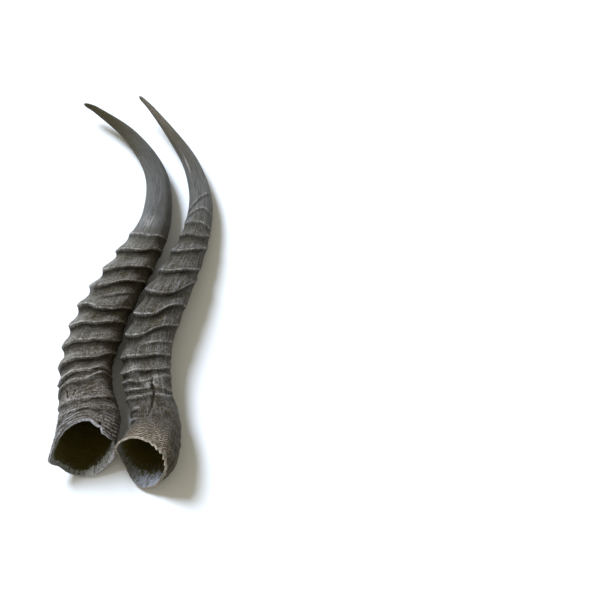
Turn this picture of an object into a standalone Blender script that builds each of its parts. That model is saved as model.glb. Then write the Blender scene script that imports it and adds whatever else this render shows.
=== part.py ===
"""A pair of springbok horns: two loose horn sheaths lying side by side on a flat surface.

Each horn is one closed solid, a hollow ringed tube of horn that leans one way and hooks back the other.
Sizes are in millimetres until a mesh is made. +Z is up, +X is to the right and +Y runs from the open
bases towards the tips. The origin is on the surface, under the middle of the pair.
"""

import math
from collections import namedtuple

import bmesh
import bpy
import numpy as np

MM = 0.001

# A horn's run, base to tip: the centre of its section, and half the section's width and depth.
Station = namedtuple("Station", "x y z half_width half_depth")

# A growth line: how far along the run it crosses the left side, the top, the right side and the underside.
# A ring adds the height of its crest, and a short ring the middle and half the length of its arc in degrees.
Line = namedtuple("Line", "left top right under height middle reach", defaults=(0.0, 90, 360))

# A corner of the open base: its angle round the horn, its height, its spread in degrees, the distance
# along the horn over which it fades, and how far it runs out past the rest of the rim.
Corner = namedtuple("Corner", "angle height spread fade reach")

SIDES = 28
RUN_STEP = 0.5

# A ring's foot lies this far behind its crest on the base side, and this far ahead on the tip side.
BASE_FOOT = 2.2
TIP_FOOT = 3.2
FOOT_GROOVE = 0.12

# The rings stand highest at this angle round the horn, and keep this share of their height opposite it.
STRONG_ANGLE = math.radians(155)
WEAK_SHARE = 0.3
SHORT_RING_FADE = 25.0

# Rows of points between the rings, and past the last one, are about this far apart.
ROW_GAP = 9.0
VALLEY_GAP = 6.0

# The hollow's wall at its blind end, and the hollow's rows as shares of its depth.
DEEP_WALL = 3.6
HOLLOW_SHARES = (0.0, 0.06, 0.16, 0.28, 0.4, 0.52, 0.64, 0.75, 0.85, 0.93, 0.98)
HOLLOW_TAPER = 4

# The tip is rounded over its last rows: their distance from its end, and their share of the full section.
TIP_ROWS = ((4.0, 1.0), (1.5, 0.9), (0.4, 0.6))

HORN_COLOUR = (0.105, 0.099, 0.085, 1.0)
HORN_ROUGHNESS = 0.5

LEFT_RUN = (
    Station(-30.2, -168, 21, 24.0, 21.0),
    Station(-27.4, -143, 20.5, 22.4, 20.3),
    Station(-28, -112, 19.5, 22.0, 19.0),
    Station(-32, -84, 19, 20.4, 18.0),
    Station(-28.5, -57, 19, 20.1, 18.0),
    Station(-23.7, -39, 18.8, 18.9, 17.8),
    Station(-16, -21, 18.5, 18.6, 17.5),
    Station(0.5, 15, 16, 16.2, 15.0),
    Station(11, 50, 12.8, 12.9, 12.3),
    Station(8.5, 92, 10.2, 9.9, 9.7),
    Station(-14.5, 129.5, 9.8, 6.6, 6.8),
    Station(-46.5, 155.5, 13, 3.0, 3.0),
    Station(-57, 160.5, 14.5, 1.5, 1.5),
)
LEFT_RIM = Line(19, 38.5, 27, 9)
LEFT_CORNERS = (Corner(195, 2.2, 27, 9, 5.5), Corner(350, 0.8, 28, 13, 0))
LEFT_WALL = 2.4
LEFT_RINGS = (
    Line(43, 48, 50, 44, 0.6),
    Line(54, 56, 58, 54, 0.8),
    Line(69, 69, 75, 75, 1.3),
    Line(78, 76.5, 83, 84, 1.7),
    Line(88.5, 87, 100, 100, 2.0),
    Line(101, 102, 113, 111, 2.0),
    Line(115, 117, 130, 127, 2.2),
    Line(130.5, 129, 142, 143, 2.4),
    Line(140, 142, 153, 151, 1.2, 75, 40),
    Line(148, 153, 166, 161, 2.4),
    Line(165, 167.5, 180, 176, 2.3),
    Line(181, 184, 196, 192, 2.0),
    Line(200, 201, 209, 208, 0.9),
)
LEFT_HOLLOW_END = 205

RIGHT_RUN = (
    Station(6.3, -172, 18.5, 20.0, 17.0),
    Station(17, -148, 18.7, 19.4, 17.4),
    Station(21, -126, 18.3, 18.2, 17.2),
    Station(17.5, -106, 17.5, 18.0, 16.5),
    Station(12, -82, 17, 18.0, 16.0),
    Station(13, -60, 17, 18.0, 16.0),
    Station(21, -31, 17, 17.2, 15.7),
    Station(33, 0, 15.3, 14.6, 14.0),
    Station(43, 34, 12, 12.0, 11.7),
    Station(46, 66, 10.3, 10.2, 10.0),
    Station(39, 97, 9.8, 8.0, 8.2),
    Station(27.2, 119.5, 11.2, 6.3, 6.5),
    Station(2.2, 152.5, 17, 2.9, 3.0),
    Station(-9.5, 165, 19, 1.4, 1.4),
)
RIGHT_RIM = Line(25, 31, 17, 6)
RIGHT_CORNERS = (Corner(8, 3.6, 45, 22, 0), Corner(160, 2.2, 25, 8, 0))
RIGHT_WALL = 1.6
RIGHT_RINGS = (
    Line(69, 65, 66, 70, 0.6),
    Line(77, 71, 74, 80, 1.0),
    Line(84, 78.5, 83, 89, 1.2),
    Line(92, 85.5, 92, 98, 1.8),
    Line(102, 97.5, 106, 110, 1.9),
    Line(110, 109, 120, 121, 1.1, 30, 60),
    Line(118, 118, 133, 132, 2.0),
    Line(137, 132.5, 151, 155, 2.1),
    Line(154, 151.5, 171, 173, 2.1),
    Line(174, 172.5, 186, 187, 2.0),
    Line(192, 193, 205, 204, 1.7),
    Line(208, 209, 217, 216, 1.3),
    Line(224, 222, 227, 229, 0.8),
)
RIGHT_HOLLOW_END = 200


def run_through(stations):
    """The stations joined by one smooth curve: rows of x, y, z, half width and half depth."""
    knots = np.array(stations, float)
    knots = np.vstack([2 * knots[0] - knots[1], knots, 2 * knots[-1] - knots[-2]])
    gaps = np.linalg.norm(np.diff(knots[:, :3], axis=0), axis=1)
    rows = []
    for i in range(1, len(knots) - 2):
        start, end = knots[i], knots[i + 1]
        before, gap, after = gaps[i - 1 : i + 2]
        slope_in = gap * (end - knots[i - 1]) / (before + gap)
        slope_out = gap * (knots[i + 2] - start) / (gap + after)
        for t in np.arange(0, 1, RUN_STEP / gap):
            rows.append(
                (2 * t**3 - 3 * t**2 + 1) * start
                + (t**3 - 2 * t**2 + t) * slope_in
                + (3 * t**2 - 2 * t**3) * end
                + (t**3 - t**2) * slope_out
            )
    rows.append(knots[-2])
    return np.array(rows)


def line_place(line, angle):
    """How far along the run a growth line lies at an angle round the horn: 0 is right, 90 is up."""
    return (
        (line.left + line.top + line.right + line.under) / 4
        + (line.right - line.left) / 2 * np.cos(angle)
        + (line.top - line.under) / 2 * np.sin(angle)
        + (line.left + line.right - line.top - line.under) / 4 * np.cos(2 * angle)
    )


def ring_height(line, angle):
    """The height of a ring's crest at an angle round the horn."""
    strength = (1 + np.cos(angle - STRONG_ANGLE)) / 2
    height = line.height * (WEAK_SHARE + (1 - WEAK_SHARE) * strength)
    away = np.abs((np.degrees(angle) - line.middle + 180) % 360 - 180)
    return height * np.clip((line.reach - away) / SHORT_RING_FADE, 0, 1)


def corner_shares(corners, angle):
    """How strongly each corner of the open base is felt at an angle round the horn."""
    away = [(np.degrees(angle) - corner.angle + 180) % 360 - 180 for corner in corners]
    return [np.exp(-((a / corner.spread) ** 2)) for a, corner in zip(away, corners)]


def rim_place(rim, corners, angle):
    """How far along the run the rim lies at an angle round the horn, with its corners run out."""
    shares = corner_shares(corners, angle)
    return line_place(rim, angle) - sum(c.reach * share for c, share in zip(corners, shares))


def corner_height(corners, angle, past_rim):
    """How far the corners of the open base stand out, at an angle and a distance past the rim."""
    shares = corner_shares(corners, angle)
    return sum(c.height * share * np.exp(-past_rim / c.fade) for c, share in zip(corners, shares))


def skin(run, along, angle, lift, share=1.0):
    """Points of a horn's skin at places along its run, lifted off it or drawn in towards its centre."""
    steps = np.linalg.norm(np.diff(run[:, :3], axis=0), axis=1)
    passed = np.concatenate([[0], np.cumsum(steps)])
    x, y, z, width, depth = (np.interp(along, passed, column) for column in run.T)
    heading = np.stack(
        [
            np.interp(along + 1, passed, column) - np.interp(along - 1, passed, column)
            for column in run.T[:3]
        ],
        -1,
    )
    heading /= np.linalg.norm(heading, axis=-1, keepdims=True)
    right = np.cross(heading, (0, 0, 1))
    right /= np.linalg.norm(right, axis=-1, keepdims=True)
    up = np.cross(right, heading)
    across = (width + lift) * share * np.cos(angle)
    upward = (depth + lift) * share * np.sin(angle)
    return np.stack([x, y, z], -1) + right * across[:, None] + up * upward[:, None]


def rows_between(start, end, gap):
    """Even rows between two growth lines, without the lines themselves."""
    count = math.ceil(np.max(end - start) / gap)
    return [start + (end - start) * i / count for i in range(1, count)]


def horn_rows(stations, rim, corners, wall, rings, hollow_end):
    """The hollow's blind end, the rows of points over the rim and along the outside, and the tip."""
    run = run_through(stations)
    length = np.linalg.norm(np.diff(run[:, :3], axis=0), axis=1).sum()
    angle = np.arange(SIDES) * 2 * math.pi / SIDES
    mouth = rim_place(rim, corners, angle)
    rows = []

    def add_row(place, lift=0.0, share=1.0):
        swell = corner_height(corners, angle, place - mouth)
        rows.append(skin(run, place, angle, swell + lift, share))

    for share in reversed(HOLLOW_SHARES):
        fullness = math.sqrt(1 - share**HOLLOW_TAPER)
        add_row(mouth + (hollow_end - mouth) * share, -(wall + (DEEP_WALL - wall) * share), fullness)
    add_row(mouth)

    reached = mouth
    for ring in rings:
        crest = line_place(ring, angle)
        height = ring_height(ring, angle)
        gap = ROW_GAP if np.max(crest - reached) > VALLEY_GAP + BASE_FOOT else np.inf
        for place in rows_between(reached, crest - BASE_FOOT, gap):
            add_row(place)
        add_row(crest - BASE_FOOT, -FOOT_GROOVE * height)
        add_row(crest, height)
        reached = crest + TIP_FOOT
        add_row(reached)

    ends = np.array([hollow_end, length])
    blind_end, tip = skin(run, ends, np.zeros(2), np.zeros(2), 0.0)
    for place in rows_between(reached, np.full(SIDES, length - TIP_ROWS[0][0]), ROW_GAP):
        add_row(place)
    for distance, share in TIP_ROWS:
        add_row(np.full(SIDES, length - distance), 0.0, share)
    return blind_end, rows, tip


def extrude_loop(mesh, loop):
    """Extrude a closed loop of points and return the new points in the same order."""
    edges = [
        next(edge for edge in point.link_edges if edge.other_vert(point) == after)
        for point, after in zip(loop, loop[1:] + loop[:1])
    ]
    made = bmesh.ops.extrude_edge_only(mesh, edges=edges)["geom"]
    new = {item for item in made if isinstance(item, bmesh.types.BMVert)}
    return [
        next(edge.other_vert(point) for edge in point.link_edges if edge.other_vert(point) in new)
        for point in loop
    ]


def make_horn(name, blind_end, rows, tip, shift, material):
    """One horn: a circle of points set on the first row, and extruded on to each row after it."""
    mesh = bmesh.new()
    loop = bmesh.ops.create_circle(mesh, segments=SIDES, radius=MM)["verts"]
    first_loop = list(loop)
    for number, row in enumerate(rows):
        if number > 0:
            loop = extrude_loop(mesh, loop)
        for vert, point in zip(loop, row):
            vert.co = (point + shift) * MM
    for end_loop, point in ((loop, tip), (first_loop, blind_end)):
        bmesh.ops.pointmerge(mesh, verts=extrude_loop(mesh, end_loop), merge_co=(point + shift) * MM)

    bmesh.ops.recalc_face_normals(mesh, faces=mesh.faces)
    for face in mesh.faces:
        face.smooth = True
    data = bpy.data.meshes.new(name)
    mesh.to_mesh(data)
    mesh.free()
    data.materials.append(material)
    bpy.context.scene.collection.objects.link(bpy.data.objects.new(name, data))


for startup_object in list(bpy.data.objects):
    bpy.data.objects.remove(startup_object, do_unlink=True)

horns = {
    "horn_left": horn_rows(
        LEFT_RUN, LEFT_RIM, LEFT_CORNERS, LEFT_WALL, LEFT_RINGS, LEFT_HOLLOW_END
    ),
    "horn_right": horn_rows(
        RIGHT_RUN, RIGHT_RIM, RIGHT_CORNERS, RIGHT_WALL, RIGHT_RINGS, RIGHT_HOLLOW_END
    ),
}

# The pair's middle is put over the origin, and each horn is set down on the surface.
everything = np.vstack([np.vstack(rows + [tip]) for blind_end, rows, tip in horns.values()])
middle = (everything.min(axis=0) + everything.max(axis=0)) / 2

for name, (blind_end, rows, tip) in horns.items():
    material = bpy.data.materials.new(name)
    material.use_nodes = True
    shader = material.node_tree.nodes["Principled BSDF"]
    shader.inputs["Base Color"].default_value = HORN_COLOUR
    shader.inputs["Roughness"].default_value = HORN_ROUGHNESS
    shader.inputs["Metallic"].default_value = 0.0
    lowest = np.vstack(rows)[:, 2].min()
    make_horn(name, blind_end, rows, tip, -np.array([middle[0], middle[1], lowest]), material)
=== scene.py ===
import math
from collections import namedtuple
from itertools import product

import bmesh
import bpy
import numpy as np
from mathutils import Matrix, Vector


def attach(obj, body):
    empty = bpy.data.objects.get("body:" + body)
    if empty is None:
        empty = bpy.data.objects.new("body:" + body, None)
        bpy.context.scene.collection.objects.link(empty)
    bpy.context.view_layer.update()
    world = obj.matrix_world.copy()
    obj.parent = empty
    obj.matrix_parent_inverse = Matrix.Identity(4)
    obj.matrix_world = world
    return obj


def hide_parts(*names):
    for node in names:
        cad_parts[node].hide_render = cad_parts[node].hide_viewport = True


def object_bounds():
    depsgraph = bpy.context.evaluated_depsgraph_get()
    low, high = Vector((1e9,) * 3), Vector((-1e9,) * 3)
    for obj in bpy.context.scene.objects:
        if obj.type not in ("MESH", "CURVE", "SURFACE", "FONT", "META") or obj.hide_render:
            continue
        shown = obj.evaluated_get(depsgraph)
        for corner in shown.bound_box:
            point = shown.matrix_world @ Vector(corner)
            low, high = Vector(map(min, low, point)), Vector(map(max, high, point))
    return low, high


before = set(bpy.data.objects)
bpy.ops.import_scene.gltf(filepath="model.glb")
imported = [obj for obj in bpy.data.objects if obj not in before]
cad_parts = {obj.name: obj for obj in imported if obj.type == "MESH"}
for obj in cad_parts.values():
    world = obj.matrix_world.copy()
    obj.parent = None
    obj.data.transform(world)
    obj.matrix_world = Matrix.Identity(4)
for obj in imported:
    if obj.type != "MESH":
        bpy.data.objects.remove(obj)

cad_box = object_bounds()

# --------------------------------------------------------------------------------------------------
# The left horn: the sheath of a grown springbok ram's horn, one piece of dark keratin that grew in
# rings round a core of bone. The core is gone and leaves it hollow at the base, where the rim is
# weathered and torn; the upper part is smooth and hooks to a fine tip. It lies loose on the floor.
# --------------------------------------------------------------------------------------------------

MM = 0.001

# The horn's run in millimetres, base to tip: the centre of its section, half its width and half its depth.
Station = namedtuple("Station", "x y z half_width half_depth")

# A growth line: how far along the run it crosses the left side, the top, the right side and the underside.
Line = namedtuple("Line", "left top right under")

# A ring: its growth line, the height of its crest, and the points (angle, place) that its crest passes.
# A short ring also has the middle and half the length of its arc in degrees. The others go all round.
WHOLE = 360
Ring = namedtuple("Ring", "line height points middle reach", defaults=((), 90, WHOLE))

# A corner of the open base: its angle, its height, its spread in degrees, the distance along the horn over
# which it fades, and how far it runs out past the rest of the rim.
Corner = namedtuple("Corner", "angle height spread fade reach")

LEFT_SHIFT = (0.13518, 2.82219, 0.20300)
LEFT_RUN = (
    Station(-30.2, -168, 21, 24.0, 21.0),
    Station(-27.4, -143, 20.5, 22.4, 20.3),
    Station(-28, -112, 19.5, 22.0, 19.0),
    Station(-32, -84, 19, 20.4, 18.0),
    Station(-28.5, -57, 19, 20.1, 18.0),
    Station(-23.7, -39, 18.8, 18.9, 17.8),
    Station(-16, -21, 18.5, 18.6, 17.5),
    Station(0.5, 15, 16, 16.2, 15.0),
    Station(11, 50, 12.8, 12.9, 12.3),
    Station(8.5, 92, 10.2, 9.9, 9.7),
    Station(-14.5, 129.5, 9.8, 6.6, 6.8),
    Station(-46.5, 155.5, 13, 3.0, 3.0),
    Station(-57, 160.5, 14.5, 1.5, 1.5),
)
LEFT_RIM = Line(19, 38.5, 27, 9)
LEFT_CORNERS = (Corner(190, 3.0, 17, 5, 5.0), Corner(350, 0.8, 28, 13, 0))
LEFT_WALL = 2.4
LEFT_HOLLOW_END = 205
LEFT_RINGS = (
    Ring(Line(43, 48, 50, 44), 0.5),
    Ring(Line(54, 56, 58, 54), 0.6),
    Ring(Line(64, 69, 75, 75), 1.1, ((180, 65), (148, 70), (118, 72), (84, 70), (64, 74), (42, 77))),
    Ring(Line(74, 76.5, 83, 84), 1.3, ((180, 75), (108, 78), (70, 78), (58, 81), (40, 82), (14, 80))),
    Ring(Line(85, 87, 100, 100), 1.9, ((180, 85), (144, 85), (102, 88), (64, 89), (46, 95), (18, 100))),
    Ring(
        Line(101, 102, 113, 111), 2.0,
        ((200, 98), (176, 98.5), (126, 100), (92, 102), (64, 105), (42, 107)),
    ),
    Ring(
        Line(115, 117, 130, 127), 2.2,
        ((176, 116), (124, 114), (102, 116), (82, 116), (64, 120), (44, 124)),
    ),
    Ring(
        Line(130.5, 129, 142, 143), 2.4,
        ((144, 129), (112, 130), (84, 129), (64, 131), (34, 140), (6, 144)),
    ),
    Ring(Line(140, 142, 153, 151), 1.2, ((94, 139), (80, 142), (58, 148), (42, 152), (10, 158)), 55, 50),
    Ring(
        Line(148, 153, 166, 161), 2.4,
        ((144, 144), (110, 146), (92, 150), (68, 158), (36, 164), (2, 170)),
    ),
    Ring(Line(165, 167.5, 180, 176), 2.3, ((138, 160), (114, 162), (86, 168), (56, 174), (24, 180))),
    Ring(Line(181, 184, 196, 192), 2.0, ((182, 184), (76, 186), (42, 194), (14, 198))),
    Ring(Line(200, 201, 209, 208), 0.9, ((190, 204), (86, 200), (44, 206))),
)

# Each row of points keeps its place along the run at these angles round the horn: 0 is right, 90 is up.
ROUND = np.arange(720) * math.tau / 720

# The grain is read on a round bar of this radius, and the tip closes over this last stretch, both in
# millimetres.
AROUND_MM = 17.0
TIP_END = 4.0


def run_through(stations, shift):
    """The stations joined by a smooth curve: rows of x, y, z and half sizes, and their place along it."""
    knots = np.array(stations, float)
    knots = np.vstack([2 * knots[0] - knots[1], knots, 2 * knots[-1] - knots[-2]])
    gaps = np.linalg.norm(np.diff(knots[:, :3], axis=0), axis=1)
    rows = []
    for i in range(1, len(knots) - 2):
        start, end = knots[i], knots[i + 1]
        before, gap, after = gaps[i - 1 : i + 2]
        slope_in = gap * (end - knots[i - 1]) / (before + gap)
        slope_out = gap * (knots[i + 2] - start) / (gap + after)
        for t in np.arange(0, 1, 0.5 / gap):
            rows.append(
                (2 * t**3 - 3 * t**2 + 1) * start
                + (t**3 - 2 * t**2 + t) * slope_in
                + (3 * t**2 - 2 * t**3) * end
                + (t**3 - t**2) * slope_out
            )
    rows.append(knots[-2])
    run = np.array(rows)
    passed = np.concatenate([[0], np.cumsum(np.linalg.norm(np.diff(run[:, :3], axis=0), axis=1))])
    run[:, :3] += shift
    return run, passed


def frame_at(run, passed, along):
    """At places along the run: its centre, its sideways, upward and onward directions, its half sizes."""
    x, y, z, width, depth = (np.interp(along, passed, column) for column in run.T)
    ahead, behind = (
        np.stack([np.interp(along + step, passed, column) for column in run.T[:3]], -1) for step in (1, -1)
    )
    heading = (ahead - behind) / np.linalg.norm(ahead - behind, axis=-1, keepdims=True)
    right = np.cross(heading, (0, 0, 1))
    right /= np.linalg.norm(right, axis=-1, keepdims=True)
    return np.stack([x, y, z], -1), right, np.cross(right, heading), heading, width, depth


def line_place(line, angle):
    """How far along the run a growth line lies at an angle round the horn."""
    return (
        sum(line) / 4
        + (line.right - line.left) / 2 * np.cos(angle)
        + (line.top - line.under) / 2 * np.sin(angle)
        + (line.left + line.right - line.top - line.under) / 4 * np.cos(2 * angle)
    )


def on_round(values, angle):
    """Values kept at the angles of ROUND, read at any angles."""
    return np.interp(angle % math.tau, np.append(ROUND, math.tau), np.append(values, values[0]))


def grain_noise(points, seed):
    """Smooth noise from -1 to 1 at points whose unit is the size of one lump."""
    cells, scatter = 4096, (73856093, 19349663, 83492791)
    table = np.random.default_rng(seed).uniform(-1, 1, cells)
    cell = np.floor(points).astype(np.int64)
    part = points - cell
    part = part * part * (3 - 2 * part)
    total = 0.0
    for corner in product((0, 1), repeat=3):
        key = (cell + corner) * scatter
        weight = np.prod(np.where(corner, part, 1 - part), axis=1)
        total = total + weight * table[(key[:, 0] ^ key[:, 1] ^ key[:, 2]) & (cells - 1)]
    return total


def round_noise(lump, seed):
    """Noise round the horn at the angles of ROUND, with lumps of this many millimetres."""
    circle = np.stack([AROUND_MM * np.cos(ROUND), AROUND_MM * np.sin(ROUND), np.zeros(len(ROUND))], -1)
    return grain_noise(circle / lump, seed)


def ring_path(ring, seed):
    """Where a ring's crest runs: its growth line, drawn on to its known points, with a fine waver."""
    path = line_place(ring.line, ROUND)
    if ring.points:
        angles, places = np.array(sorted(ring.points), float).T
        off = places - line_place(ring.line, np.radians(angles))
        fade, smoothing = 35, range(-9, 10, 3)
        angles = np.concatenate([[angles[0] - fade], angles, [angles[-1] + fade]])
        off = np.concatenate([[0], off, [0]])
        degrees = (np.degrees(ROUND) + 90) % 360 - 90
        path = path + np.mean([np.interp(degrees + d, angles, off) for d in smoothing], axis=0)
    return path + 0.45 * round_noise(6, seed) + 0.2 * round_noise(2.2, seed + 1)


def ring_height(ring, seed):
    """The height of a ring's crest round the horn: most at the upper left, least at the lower right."""
    upper_left, fade = math.radians(155), 25
    strength = (1 + np.cos(ROUND - upper_left)) / 2
    away = np.abs(turned(ROUND, ring.middle))
    uneven = 1 + 0.16 * round_noise(9, seed + 2) + 0.1 * round_noise(3, seed + 3)
    return ring.height * (0.3 + 0.7 * strength) * np.clip((ring.reach - away) / fade, 0, 1) * uneven


def turned(angle, middle):
    """How many degrees an angle round the horn is turned from another one, given in degrees."""
    return (np.degrees(angle) - middle + 180) % 360 - 180


def corner_shares(corners, angle):
    """How strongly each corner of the open base is felt at an angle round the horn."""
    return [np.exp(-((turned(angle, corner.angle) / corner.spread) ** 2)) for corner in corners]


def patch_share(patch, angle, place):
    """How strongly a patch or a swelling is felt at each point."""
    sideways, lengthways = turned(angle, patch.angle) / patch.spread, (place - patch.place) / patch.length
    return np.exp(-(sideways**2) - lengthways**2)


# A scratch, split or hole: the points (angle, place) that it passes, half its width and its depth.
Cut = namedtuple("Cut", "points half_width depth")

# How far off the nearest cut counts as being, in halves of its width, where none is near.
UNCUT = 9.0

# A place where the horn swells or is drawn in: its angle and place, its height, and its spread both ways.
Swell = namedtuple("Swell", "angle place height spread length")

# A patch of painted shade or of scuffed, scratched horn: its angle and place, its spread both ways and its
# strength.
Patch = namedtuple("Patch", "angle place spread length strength")

# All the sizes of a horn. Tears give how far the torn rim is set back (angle, distance), thicker how much
# thicker than elsewhere the wall is at the rim (angle, millimetres). The valleys between rings go this share
# of a ring deep. Lining gives how far in the lining reaches and how pale it is (angle, distance, share); that
# paleness is partly painted light, where the lower wall faces up. Bare gives how bare and pale the rim's cut
# edge is (angle, share), and flaking where the rim has split into layers (angle, half width in degrees,
# strength), layer_gap apart.
Sizes = namedtuple(
    "Sizes",
    "stations shift rim corners tears wall thicker hollow_end rings valleys swells lining bare flaking "
    "layer_gap cuts grime scuffs seed",
)

Rows = namedtuple("Rows", "places hollow lip")


def plan_rows(mouth, crests, length):
    """The rows of points, from the hollow's blind end over the lip and along the outside to the tip.

    Each row keeps its place at the angles of ROUND, its share of the hollow's depth (0 at the mouth) and its
    side of the lip (-1 inside, 0 on the lip's crown, 1 outside).
    """
    places, hollow, lip = [], [], []

    def add_row(place, share=0.0, side=1.0):
        places.append(place)
        hollow.append(share)
        lip.append(side)

    for share in (1.0, 0.96, 0.82, 0.62, 0.42, 0.22, 0.07, 0.0):
        add_row(mouth, share, -1.0)
    add_row(mouth, 0.0, 0.0)
    for distance in (0.0, 3.5, 8.0):
        add_row(mouth + distance)
    reached = places[-1]

    # Each whole ring has a row at its foot and one on its crest, and rows between where there is room.
    foot, back, least_gap = 2.4, 3, 0.3
    room_below, room_behind, room_between = 12, 7, 11.5
    for crest, after in zip(crests, crests[1:] + [None]):
        if np.min(crest - foot - reached) > room_below:
            add_row(reached + (crest - foot - reached) / 2)
        add_row(np.maximum(crest - foot, reached + least_gap))
        add_row(np.maximum(crest, reached + 2 * least_gap))
        reached = places[-1]
        if after is None or np.min(after - crest) > room_behind:
            reached = reached + back
            add_row(reached)
        if after is not None and np.min(after - crest) > room_between:
            reached = (reached + after - foot) / 2
            add_row(reached)

    # Close rows where the last short rings lie, and wider ones over the smooth part.
    close_rows, close_gap, smooth_rows = 5, 9, 5
    for _ in range(close_rows):
        reached = reached + close_gap
        add_row(reached)
    for i in range(1, smooth_rows + 1):
        add_row(reached + (length - TIP_END - reached) * i / smooth_rows)
    for distance in (1.4, 0.4, 0.0):
        add_row(np.full(len(ROUND), length - distance))
    return Rows(np.array(places), np.array(hollow), np.array(lip))


CAGE_SIDES = 24


def lay_cage(name, run, passed, rows, hollow_end, wall):
    """Model a horn's cage: a circle at the hollow's end, extruded from row to row out to the tip."""
    bpy.ops.object.select_all(action="DESELECT")
    frames, least_share = [], 0.05
    for place, share, side in zip(rows.places, rows.hollow, rows.lip):
        place = place + share * (hollow_end - place)
        middle = float(np.mean(place))
        tilt_right = 2 * np.mean(place * np.cos(ROUND))
        tilt_up = 2 * np.mean(place * np.sin(ROUND))
        centre, right, up, heading, width, depth = (
            value[0] for value in frame_at(run, passed, np.array([middle]))
        )
        sideways = Vector(right + heading * tilt_right / width).normalized()
        upward = Vector(up + heading * tilt_up / depth)
        upward = (upward - sideways * upward.dot(sideways)).normalized()
        turn = Matrix((sideways, upward, sideways.cross(upward))).transposed()
        radius = (width + depth) / 2 - wall * (1 - side) / 2
        radius *= math.sqrt(max(1 - share**4, least_share))
        near_tip = passed[-1] - middle
        if side == 1 and near_tip < TIP_END:
            radius *= math.sqrt(max(1 - (1 - near_tip / TIP_END) ** 2, least_share))
        frames.append((Vector(centre) * MM, turn, radius * MM))

    centre, turn, radius = frames[0]
    bpy.ops.mesh.primitive_circle_add(
        vertices=CAGE_SIDES, radius=radius, fill_type="NOTHING", location=centre, rotation=turn.to_euler()
    )
    horn = bpy.context.object
    horn.name = horn.data.name = name
    bpy.ops.object.transform_apply(location=True, rotation=True, scale=True)
    bpy.ops.object.mode_set(mode="EDIT")
    bpy.ops.mesh.select_mode(type="VERT")
    bpy.ops.mesh.select_all(action="SELECT")

    def mark_row(number):
        """Number the selected points with their row, and keep which way they lie from its centre."""
        points = bmesh.from_edit_mesh(horn.data)
        layers = [
            points.verts.layers.float.get(word) or points.verts.layers.float.new(word)
            for word in ("row", "rightward", "upward")
        ]
        middle, facing, _ = frames[number]
        for point in points.verts:
            if point.select:
                away = facing.transposed() @ (point.co - middle)
                size = max(away.to_2d().length, 1e-9)
                for layer, value in zip(layers, (number, away.x / size, away.y / size)):
                    point[layer] = value
        bmesh.update_edit_mesh(horn.data)

    mark_row(0)
    for number in range(1, len(frames)):
        was_centre, was_turn, was_radius = frames[number - 1]
        centre, turn, radius = frames[number]
        bpy.ops.mesh.extrude_edges_move(TRANSFORM_OT_translate={"value": centre - was_centre})
        swing = (turn @ was_turn.transposed()).to_euler("XYZ")
        for axis, angle in zip("XYZ", swing):
            bpy.ops.transform.rotate(value=-angle, orient_axis=axis, center_override=centre)
        bpy.ops.transform.resize(value=(radius / was_radius,) * 3, center_override=centre)
        mark_row(number)
    bpy.ops.mesh.merge(type="CENTER")

    points = bmesh.from_edit_mesh(horn.data)
    row = points.verts.layers.float["row"]
    for point in points.verts:
        point.select_set(point[row] == 0)
    points.select_flush(True)
    bmesh.update_edit_mesh(horn.data)
    bpy.ops.mesh.merge(type="CENTER")
    bpy.ops.mesh.select_all(action="SELECT")
    bpy.ops.mesh.normals_make_consistent(inside=False)
    bpy.ops.object.mode_set(mode="OBJECT")

    smooth = horn.modifiers.new("rounding", "SUBSURF")
    smooth.levels = smooth.render_levels = 3
    bpy.ops.object.modifier_apply(modifier=smooth.name)
    return horn


def read_points(horn, word):
    """One of the numbers kept at each of a horn's points."""
    values = np.empty(len(horn.data.vertices), np.float32)
    horn.data.attributes[word].data.foreach_get("value", values)
    return values.astype(float)


def keep_points(horn, word, values):
    """Keep a number or a direction at each of a horn's points, for its material to read."""
    vector = values.ndim == 2
    made = horn.data.attributes.new(word, "FLOAT_VECTOR" if vector else "FLOAT", "POINT")
    made.data.foreach_set("vector" if vector else "value", values.astype(np.float32).ravel())


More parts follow.
